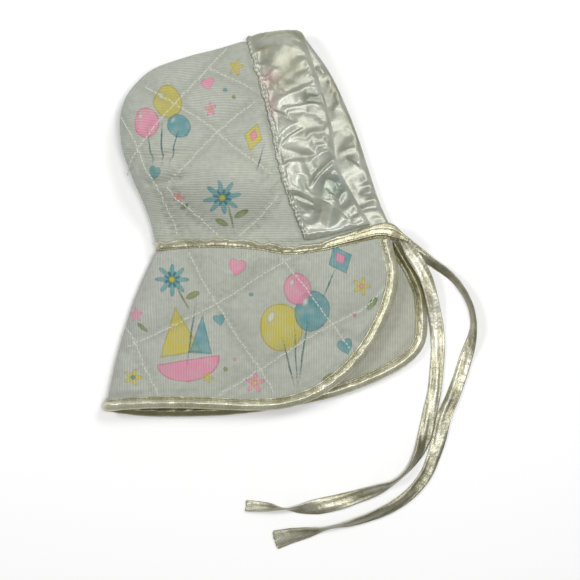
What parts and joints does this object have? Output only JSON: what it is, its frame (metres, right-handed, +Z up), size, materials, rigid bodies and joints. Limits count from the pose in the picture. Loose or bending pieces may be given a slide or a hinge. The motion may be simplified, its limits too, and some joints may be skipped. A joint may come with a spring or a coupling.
{
  "type": "quilted baby hood with cape and ties",
  "caption": "Soft quilted baby hood with a satin face band, a short cape below the neck and ribbon ties, lying folded flat on its side.",
  "frame": {"origin": "on the surface that the hood lies on, below the middle of its box without the ties", "axes": "+X to the face, +Y to the top of the head, +Z up from the surface, which is the wearer's right"},
  "size_m": [0.2572, 0.3532, 0.0417],
  "materials": {
    "quilted_cotton": "printed ribbed cotton, quilted, matt",
    "ivory_satin": "satin, glossy",
    "champagne_satin": "satin, glossy"
  },
  "bodies": {
    "root": {"crown": "quilted_cotton", "face_band": "ivory_satin", "cape": "quilted_cotton", "neck_binding": "champagne_satin", "cape_binding": "champagne_satin", "tie_right": "champagne_satin", "tie_left": "champagne_satin"}
  },
  "joints": []
}
